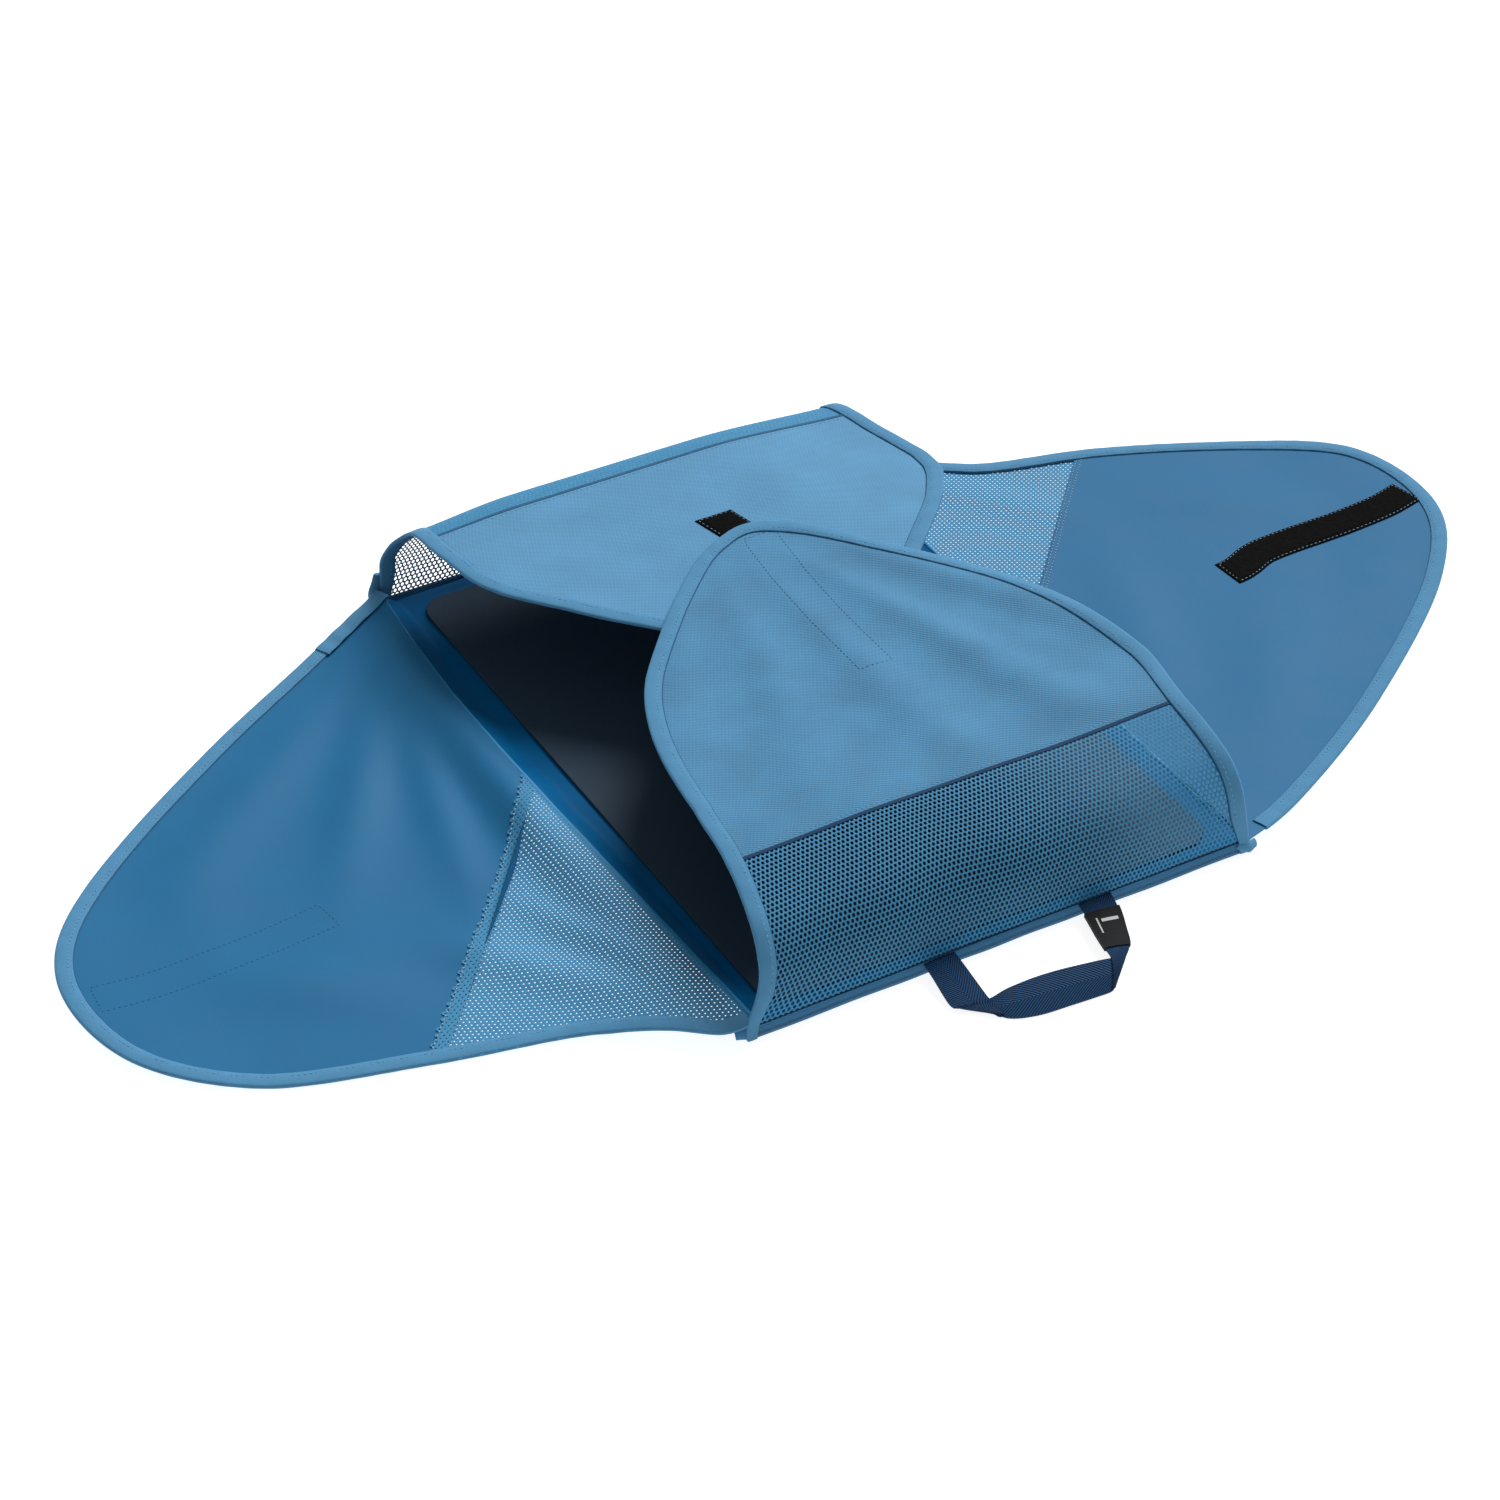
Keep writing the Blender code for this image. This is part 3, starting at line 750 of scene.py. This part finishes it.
def strip(name, middle, centre, face):
    """A hook or loop strip along a centre line: a thick napped tape, flatter at its sewn margins."""
    level = face * (FABRIC / 2 + 0.0001)
    rows = [0, 0.0004, 0.0022, 0.0030, 0.0038]
    rise = [0.0, 0.55, 0.55, 0.75, 1.0]
    nap = list(np.linspace(0.0048, STRIP_WIDTH - 0.0048, 22))
    across = rows + nap + [STRIP_WIDTH - row for row in reversed(rows)]
    height = rise + [1.0] * len(nap) + rise[::-1]
    rng = np.random.default_rng(len(name))
    line = even(centre, 0.0009)
    right = inward(line)
    run = arc(line)
    flat, n, pattern = [], [], []
    for i, (point, direction) in enumerate(zip(line, right)):
        ends = min(run[i], run[-1] - run[i])
        for v, h in zip(across, height):
            margin = np.interp(ends, [0, 0.0004, 0.0022, 0.0038], [0.0, 0.55, 0.55, 1.0])
            tall = min(h, margin)
            rough = rng.uniform(-0.00016, 0.00016) if tall == 1.0 else 0.0
            flat.append(point + direction * (v - STRIP_WIDTH / 2))
            n.append(level + face * (STRIP_THICK * tall + rough))
            pattern.append((run[i], v))
    width = len(across)
    flat = np.array(flat)
    points = np.vstack([lay(middle, flat, np.array(n)), lay(middle, flat, level - face * 0.0001)])
    grid = [
        (i * width + j, i * width + j + 1, (i + 1) * width + j + 1, (i + 1) * width + j)
        for i in range(len(line) - 1) for j in range(width - 1)
    ]
    faces = closed(grid, len(flat))
    if face < 0:
        faces = [f[::-1] for f in faces]
    return piece(name, points, faces, pattern * 2, "hook_and_loop", sharp=180)


def strip_outline(centre, inside_by=0.0016):
    """The row of stitches round a strip, as one line that comes back to its start."""
    line = even(centre, 0.002)[1:-1]
    half = STRIP_WIDTH / 2 - inside_by
    right = inward(line)
    ring = np.vstack([line + right * half, (line - right * half)[::-1]])
    return even(np.vstack([ring, ring[:1]]), 0.001)


def tube(name, path, section, finish, up=(0.0, 0.0, 1.0), scale=None):
    """A closed section (across, up) carried along a path in the world, and scaled at each point."""
    section = np.asarray(section, float)
    scale = np.ones(len(path)) if scale is None else scale
    along = unit(np.gradient(path, axis=0))
    across = unit(np.cross(along, up))
    over = np.cross(across, along)
    count = len(section)
    sized = section[None] * scale[:, None, None]
    points = path[:, None] + across[:, None] * sized[..., :1] + over[:, None] * sized[..., 1:]
    pattern = np.stack([np.repeat(arc(path), count), np.tile(arc(section), len(path))], axis=1)
    return piece(name, points.reshape(-1, 3), skin(len(path), count), pattern, finish, sharp=60)


def oval(width, height, count=12):
    """An oval section, in the order that turns a tube's faces outwards."""
    turn = np.arange(count) * 2 * math.pi / count
    return np.stack([width / 2 * np.cos(turn), height / 2 * np.sin(turn)], axis=1)


# ---- wings

def dress(pieces, move):
    """Says how each of the pieces moves."""
    for obj in pieces:
        move(obj)


def fastener(side, middle, centre, face, body):
    """A wing's hook or loop strip along a centre line, and the stitches round it on both faces."""
    kind = "hook" if face > 0 else "loop"
    name = f"{side}_{kind}_stitches"
    tape = strip(f"{side}_{kind}_tape", middle, centre, face)
    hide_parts(f"{side}_{kind}_strip")
    ring = [strip_outline(centre)]
    sewn = face * (FABRIC / 2 + 0.0001 + 0.6 * STRIP_THICK)
    on_tape = stitches(name, ring, middle, sewn, "bright_thread")
    on_back = stitches(name + "_behind", ring, middle, -face * FABRIC / 2, "dark_thread")
    dress([tape, on_tape, on_back], lambda obj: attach(obj, body))
    return tape


def edging(prefix, line, middle, taper=1.0):
    """A wing's binding, a dark band where it ends (seam and painted shadow), and stitches on both faces."""
    tape = swept(prefix + "_edge_tape", line, tape_section(), middle, "binding", wobble=0.06, taper=taper)
    # A thin dark band just past the tape's inner edge: partly the tape's seam, partly a painted shadow of
    # the tape.
    seam = [(TAPE_WIDTH - 0.0002, -0.00047), (TAPE_WIDTH + 0.0007, -0.00047)]
    seam += [(v, -n) for v, n in reversed(seam)]
    shadow = swept(prefix + "_edge_seam_shadow", line, seam[::-1], middle, "seam_and_shadow_line", taper=taper)
    row = inset(line[8:-8], STITCH_IN)
    level = TAPE_OUT + 0.00002
    threads = [
        stitches(prefix + "_edge_stitches_" + face, [row], middle, sign * level)
        for face, sign in (("inner", 1), ("outer", -1))
    ]
    return [tape, shadow, *threads]


def side_wing(side, face, strip_centre):
    """A side wing, lying open: fabric, net gusset, binding, and the hook or loop strip on one face."""
    left = side == "left"
    middle = side_middle(side)
    wall, top = f"{side}_wing_wall", f"{side}_wing_top"
    edge = smooth(SIDE_OUTLINE, 0.003)
    first, last = 0.0025, 0.0025 if left else 0.0190
    edge = edge[(edge[:, 0] > np.where(edge[:, 1] > 0, first, last)) | (np.abs(edge[:, 1]) < 0.2)]
    panel = inset(edge, 0.0008)
    panel = np.vstack([[(0.0008, panel[0, 1])], panel, [(0.0008, -0.2520)]])[::-1]
    seam_start, seam_end = np.array(GUSSET_SEAM)
    along = (seam_end - seam_start) / np.linalg.norm(seam_end - seam_start)
    away = np.array([-along[1], along[0]])
    net_laps = GUSSET_BAND if left else 0.0
    fabric_laps = 0.0 if left else GUSSET_BAND
    level = 0.0008 if left else -0.0008
    fabric_shape = clipped(panel, seam_start + away * fabric_laps, -away)
    net_shape = clipped(panel, seam_start - away * net_laps, away)
    fabric = cloth(side + "_wing_cloth", fabric_shape, middle, "inner_fabric")
    gusset = net(side + "_wing_net", net_shape, middle, level, openness=GUSSET_OPEN[side])
    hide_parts(wall + "_fabric", top + "_fabric")
    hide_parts(wall + "_gusset", top + "_gusset")
    tape, *rest = edging(side + "_wing", edge, middle)
    wall_binding = f"{side}_wall_binding"
    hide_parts(wall_binding + "_gusset_side", wall_binding + "_fabric_side", f"{side}_top_binding")
    pieces = [fabric, gusset, tape, *rest]
    rows = []
    offsets = (0.0012 - net_laps, 0.0004) if left else (fabric_laps - 0.0015, fabric_laps - 0.0045)
    for off in offsets:
        line = even([seam_start + away * off + along * 0.006, seam_end + away * off], 0.004)
        rows.append(line[inside(line, panel)])
    seam_level = 0.0011 if left else FABRIC / 2
    pieces.append(stitches(side + "_gusset_stitches", rows, middle, seam_level, "bright_thread", size=1.5))
    if left:
        covered = edge[(edge[:, 0] < 0.064) & (edge[:, 1] < 0)]
        sleeve = tape_section(0.0128, TAPE_OUT + 0.0009, TAPE_OUT + 0.0002)
        pieces.append(swept("left_corner_sleeve", covered, sleeve, middle, "binding", wobble=0.14))
    dress(pieces, lambda obj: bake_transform(obj))
    band = fastener(side, middle, smooth(strip_centre, 0.001), face, top)


def end_wing(side, face, strip_from, strip_to, strip_shift):
    """A front or back wing, folded in: a net wall, a seam, and a fabric flap over the shirts."""
    front = side == "front"
    middle = end_middle(side)
    wall_body, flap_body = f"{side}_wing_wall", f"{side}_wing_flap"
    wall = END_WALL[side]
    half = END_EDGE[side] + [(wall + u, t) for u, t in END_ARCH[side]]
    edge = smooth(half + [(s, -t) for s, t in reversed(half[:-1])], 0.003)
    panel = clipped(inset(edge, 0.0008)[::-1], (0.0005, 0.0), (1, 0))
    seam_at = wall + (0.0 if front else BACK_TOP_NET)
    net_shape = clipped(panel, (seam_at + 0.0015, 0), (-1, 0))
    flap_shape = clipped(panel, (seam_at - 0.001, 0), (1, 0))
    mesh = net(side + "_wing_net", net_shape, middle, tight_from=NEVER if front else wall - 0.010)
    # The back flap takes the outer fabric's lighter copy, which is painted light.
    flap = cloth(side + "_flap_cloth", flap_shape, middle, "outer_fabric" if front else "back_fabric_painted_lighter")
    tape, *rest = edging(side + "_wing", edge, middle, taper=0.6)

    def move(obj):
        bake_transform(obj)

    if front:
        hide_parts("front_wall_mesh")
    else:
        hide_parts("back_wall_mesh", "back_top_mesh")
    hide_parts(f"{side}_flap_fabric")
    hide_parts(f"{side}_wall_binding_1", f"{side}_wall_binding_2", f"{side}_flap_binding")
    dress([mesh, tape, flap, *rest], move)
    one_side = edge[: len(edge) // 2]
    reach_t = np.interp(seam_at, one_side[:, 0], one_side[:, 1]) - 0.009
    across = even([(seam_at, reach_t), (seam_at, -reach_t)], 0.004)
    roll = [
        (-0.0012, 0.0006), (0.0, 0.0011), (0.0012, 0.0006), (0.0015, 0.0), (0.0012, -0.0006),
        (-0.0012, -0.0006),
    ]
    seam = swept(side + "_seam_roll", across, roll, middle, "seam_tape" if front else "seam_and_shadow_line")
    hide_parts(f"{side}_seam_tape")
    seam_row = stitches(side + "_seam_stitches", [across + (0.0035, 0)], middle, -FABRIC / 2, size=0.9)
    dress([seam, seam_row], move)
    centre = even([(wall + strip_from, strip_shift), (wall + strip_to, strip_shift)], 0.001)
    band = fastener(side, middle, centre, face, flap_body)


# ---- base and board

def lining_middle(x, y):
    """The lining: flat under the board, then drawn up to the side ridges and into the welts."""
    left = x < 0
    reach = np.abs(x)
    crest = SIDE_LEVEL + np.where(left, RIDGE["left"], RIDGE["right"]) - LINING_TOP + FABRIC / 2
    rise = crest * step(reach, 0.164, 0.1772)
    ends = 0.0022 * step(np.abs(y), 0.241, 0.251)
    beside = step(reach, 0.163, 0.169) * step(-reach, -0.1772, -0.173)
    wave = 0.0004 * np.sin(y / 0.013 + 2 * np.sin(y / 0.05)) * beside
    rumple = np.minimum(0.0003 * np.sin(x / 0.02) * np.sin(y / 0.03), 0)
    away = np.where(left, edge_bow("left", y), 0.0) * step(reach, 0.140, 0.178)
    height = LINING_TOP - FABRIC / 2 + np.where(np.abs(rise) > ends, rise, ends) + wave + rumple
    return np.stack([np.sign(x) * (reach + away), y, height], axis=-1)


# The tucked end of a binding at a corner of the base, the one that also climbs the wall's edge, and how far
# the two at the front are moved in x and y.
CORNER = [
    (0.1750, 0.2536, 0.0098), (0.1790, 0.2546, 0.0076), (0.1840, 0.2542, 0.0056), (0.1900, 0.2520, 0.0045),
]
CORNER_UP = [
    (0.1750, 0.2536, 0.0098), (0.1810, 0.2546, 0.0090), (0.1852, 0.2548, 0.0105), (0.1856, 0.2551, 0.0160),
    (0.1842, 0.2552, 0.0235), (0.1824, 0.2550, 0.0310),
]
CORNER_SHIFT = {("front", "left"): (0.0005, -0.0034), ("front", "right"): (-0.0055, 0.0)}


def level_with(low, high):
    """Where the middle of a flat layer lies: level, half way up its box."""
    def middle(x, y):
        return np.stack([x, y, np.full_like(x, (low.z + high.z) / 2)], axis=-1)

    return middle


def build_base():
    """The base's lining and outer cloth, its piped long edges, welted short ones and corner tucks."""
    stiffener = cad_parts["base_stiffener"]
    stiffener.data.materials.clear()
    stiffener.data.materials.append(FINISH["stiffener"])
    half_x, half_y = HALF_X - 0.0004, HALF_Y - 0.0028
    edge_x = np.arange(0.160, half_x, 0.0011)
    rows = [*-edge_x[::-1], *np.linspace(-0.155, 0.155, 28), *edge_x]
    edge_y = np.array([0.244, 0.2465, 0.249, half_y])
    columns = [*-edge_y[::-1], *np.linspace(-0.241, 0.241, 150), *edge_y]
    lining = quilt("base_satin_lining", rows, columns, lining_middle, "lining")
    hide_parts("base_lining")
    low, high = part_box("base_outer_panel")
    outline = rectangle((low.x, high.x), (low.y, high.y))
    outer = cloth("base_outer_cloth", outline, level_with(low, high), "outer_fabric", spacing=0.02)
    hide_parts("base_outer_panel")
    pieces = [lining, outer]
    for side, out in (("left", -1), ("right", 1)):
        low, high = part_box(side + "_edge_piping")
        y = np.linspace(low.y - 0.004, high.y + 0.004, 120)
        crest = SIDE_LEVEL + RIDGE[side] + (0.0006 if side == "left" else -0.0010)
        x = out * (HALF_X + 0.0002 + edge_bow(side, y))
        path = np.stack([x, y, crest + 0.00015 * np.sin(y / 0.009)], axis=1)
        # The roll's piping colour is partly a painted highlight along the crest.
        rope = tube(side + "_edge_roll", path, oval(0.0040, 0.0038), "piping")
        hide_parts(side + "_edge_piping")
        pieces.append(rope)
    for side, out in (("front", -1), ("back", 1)):
        low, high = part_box(side + "_welt")
        tall = high.z - low.z
        x = np.linspace(low.x - 0.011, high.x + 0.011, 140)
        sway = 0.0003 * np.sin(x / 0.012 + 2 * np.sin(x / 0.07))
        y = np.full_like(x, (low.y + high.y) / 2) + sway
        path = np.stack([x, y, np.full_like(x, tall / 2)], axis=1)
        section = [(0.0013 * math.cos(a), (tall / 2) * math.sin(a)) for a in np.arange(16) * math.pi / 8]
        section = [(a * (1.25 if b < 0 else 1.0), b) for a, b in section]
        band = tube(side + "_edge_welt", path, section, "welt")
        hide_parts(side + "_welt")
        seam_y = np.full_like(x, y.mean() + out * 0.0005)
        line = np.stack([x, seam_y, np.full_like(x, tall + 0.0004)], axis=1)
        cord = tube(side + "_welt_seam", line, oval(0.0030, 0.0012, 8), "seam_tape")
        pieces += [band, cord]
        for end, sign in (("left", -1), ("right", 1)):
            tall_corner = side == "back" and end == "left"
            corner = CORNER_UP if tall_corner else CORNER
            dx, dy = CORNER_SHIFT.get((side, end), (0.0, 0.0))
            path = smooth([(sign * (px + dx), out * (py + dy), pz) for px, py, pz in corner], 0.0007)
            size = 0.6 + 0.4 * np.sin(np.linspace(0.2, math.pi - 0.2, len(path)))
            size = size * (1.35 if tall_corner else 1.0)
            size = size * (1 + 0.06 * np.sin(np.linspace(0, 14, len(path))))
            name = f"{side}_{end}_corner_tuck"
            tuck = tube(name, path, oval(0.0078, 0.0030), "binding", up=(0.0, out, 0.6), scale=size)
            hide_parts(f"{side}_{end}_corner_tab")
            pieces.append(tuck)
    dress(pieces, lambda obj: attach(obj, "base"))


def rounded_corners(low, high, radius, steps=12):
    """A rectangle from above, with round corners."""
    centres = [
        (high.x - radius, high.y - radius), (low.x + radius, high.y - radius),
        (low.x + radius, low.y + radius), (high.x - radius, low.y + radius),
    ]
    return np.array([
        (x + radius * math.cos(turn), y + radius * math.sin(turn))
        for corner, (x, y) in enumerate(centres)
        for turn in ((corner + i / steps) * math.pi / 2 for i in range(steps + 1))
    ])


def build_board():
    """The loose folding board: sheet plastic with rounded corners and softened edges."""
    low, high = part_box("folding_board")
    outline = rounded_corners(low, high, 0.018)
    thick = high.z - low.z
    board = cloth("folding_sheet", outline, level_with(low, high), "board", thick, spacing=0.004)
    bevel = board.modifiers.new("Bevel", "BEVEL")
    bevel.width = 0.0005
    bevel.segments = 2
    bevel.limit_method = "ANGLE"
    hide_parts("folding_board")
    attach(board, "folding_board")


# ---- handle

# Each run of the webbing as (left edge, right edge) pairs down its length. It is turned over at each corner,
# so the legs lie on the bar there and end in a slanting fold.
HANDLE_RUNS = {
    "left": [
        ((-0.0618, -0.2515, 0.0090), (-0.0400, -0.2515, 0.0092)),
        ((-0.0628, -0.2640, 0.0076), (-0.0406, -0.2640, 0.0082)),
        ((-0.0646, -0.2875, 0.0034), (-0.0428, -0.2950, 0.0062)),
        ((-0.0600, -0.2930, 0.0028), (-0.0420, -0.3000, 0.0052)),
        ((-0.0500, -0.3022, 0.0026), (-0.0412, -0.3065, 0.0036)),
        ((-0.0425, -0.3090, 0.0026), (-0.0406, -0.3100, 0.0028)),
    ],
    "bar": [
        ((-0.0600, -0.2900, 0.0024), (-0.0430, -0.3080, 0.0012)),
        ((-0.0428, -0.2955, 0.0046), (-0.0390, -0.3125, 0.0011)),
        ((-0.0300, -0.2952, 0.0068), (-0.0310, -0.3165, 0.0010)),
        ((-0.0120, -0.2962, 0.0084), (-0.0180, -0.3198, 0.0010)),
        ((0.0050, -0.2982, 0.0090), (-0.0010, -0.3212, 0.0010)),
        ((0.0240, -0.3015, 0.0090), (0.0150, -0.3224, 0.0010)),
        ((0.0390, -0.3040, 0.0082), (0.0265, -0.3232, 0.0012)),
        ((0.0450, -0.3045, 0.0060), (0.0300, -0.3225, 0.0014)),
    ],
    "right": [
        ((0.0505, -0.2515, 0.0094), (0.0740, -0.2515, 0.0094)),
        ((0.0478, -0.2660, 0.0092), (0.0690, -0.2700, 0.0094)),
        ((0.0440, -0.2820, 0.0090), (0.0620, -0.2870, 0.0094)),
        ((0.0412, -0.2960, 0.0090), (0.0562, -0.3000, 0.0088)),
        ((0.0398, -0.3040, 0.0088), (0.0490, -0.3070, 0.0082)),
        ((0.0352, -0.3135, 0.0064), (0.0400, -0.3150, 0.0062)),
        ((0.0286, -0.3232, 0.0028), (0.0300, -0.3234, 0.0030)),
    ],
}


def ribbon(name, run, finish, thick=0.0014, level=0.0, part=(0.0, 1.0), sides=(-0.5, 0.5)):
    """A strap laid between the two edges of a run of the handle, or a part of one.

    part and sides say which part: shares along it from its start, and across it from its middle.
    """
    edges = [through([pair[i] for pair in run], 10) for i in (0, 1)]
    along = arc((edges[0] + edges[1]) / 2)

    def middle(s, t):
        share = np.asarray(t)[..., None] / WEBBING + 0.5
        left, right = (sample(edge, along, s) for edge in edges)
        crown = 0.0004 * np.sin(np.pi * np.clip(share, 0, 1)) * (0, 0, 1)
        return right + (left - right) * share + crown

    outline = rectangle([along[-1] * p for p in part], [WEBBING * side for side in sides])
    return cloth(name, outline, middle, finish, thick=thick, level=level, spacing=0.0024)


def build_handle():
    """The webbing loop with its two folded corners, and the tag wrapped round its right leg."""
    straps = {name: ribbon(f"handle_{name}_strap", run, "webbing") for name, run in HANDLE_RUNS.items()}
    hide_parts("handle_webbing")
    right = HANDLE_RUNS["right"]
    tag = ribbon("handle_tag", right, "size_tag", 0.0030, part=(0.17, 0.60), sides=(-0.54, 0.54))
    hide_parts("handle_size_tag")
    on_tag = -0.00152
    mark = ribbon("handle_tag_mark", right, "tag_mark", 0.0002, on_tag, (0.28, 0.315), (-0.36, 0.16))
    line = ribbon("handle_tag_line", right, "tag_mark", 0.0002, on_tag, (0.26, 0.44), (0.26, 0.31))
    dress([*straps.values(), tag, mark, line], lambda obj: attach(obj, "handle"))


# ---- stage

def build_stage():
    """The camera, a white surround, one soft sun, and a white floor that stays white in shade."""
    scene = bpy.context.scene
    data = bpy.data.cameras.new("camera")
    data.lens = 93.9
    data.sensor_width = 36.0
    camera = bpy.data.objects.new("camera", data)
    camera.location = (-1.047, -1.762, 1.547)
    camera.rotation_euler = (math.radians(52.605), 0.0, math.radians(-29.8))
    scene.collection.objects.link(camera)
    scene.camera = camera
    scene.view_settings.view_transform = "Standard"

    world = bpy.data.worlds.new("studio")
    world.use_nodes = True
    background = world.node_tree.nodes["Background"]
    background.inputs["Color"].default_value = (1.0, 1.0, 1.0, 1.0)
    background.inputs["Strength"].default_value = 0.32
    scene.world = world
    light = bpy.data.lights.new("key", "SUN")
    light.energy = 3.60
    light.angle = math.radians(32)
    lamp = bpy.data.objects.new("key", light)
    lamp.rotation_euler = Vector((-0.62, -0.42, -0.72)).to_track_quat("-Z", "Y").to_euler()
    scene.collection.objects.link(lamp)

    graph = Graph("floor")
    graph.shader.inputs["Base Color"].default_value = (0.50, 0.50, 0.50, 1.0)
    graph.shader.inputs["Roughness"].default_value = 1.0
    graph.shader.inputs["Specular IOR Level"].default_value = 0.0
    graph.shader.inputs["Emission Color"].default_value = (1.0, 1.0, 1.0, 1.0)
    graph.shader.inputs["Emission Strength"].default_value = 0.86
    bpy.ops.mesh.primitive_plane_add(size=60.0)
    floor = bpy.context.object
    floor.name = "floor"
    floor.data.materials.append(graph.material)


build_stage()
build_base()
build_board()
side_wing("left", -1, [(0.171, 0.025), (0.212, 0.030), (0.252, 0.033), (0.292, 0.034), (0.331, 0.031)])
side_wing("right", 1, [
    (0.1640, 0.0006), (0.1710, 0.0012), (0.1810, 0.0040), (0.1920, 0.0086), (0.2040, 0.0112),
    (0.2270, 0.0122), (0.2520, 0.0118), (0.2740, 0.0115), (0.3050, 0.0125), (0.3320, 0.0178),
])
end_wing("front", 1, 0.122, 0.293, 0.008)
end_wing("back", -1, 0.097, 0.267, 0.0)
build_handle()
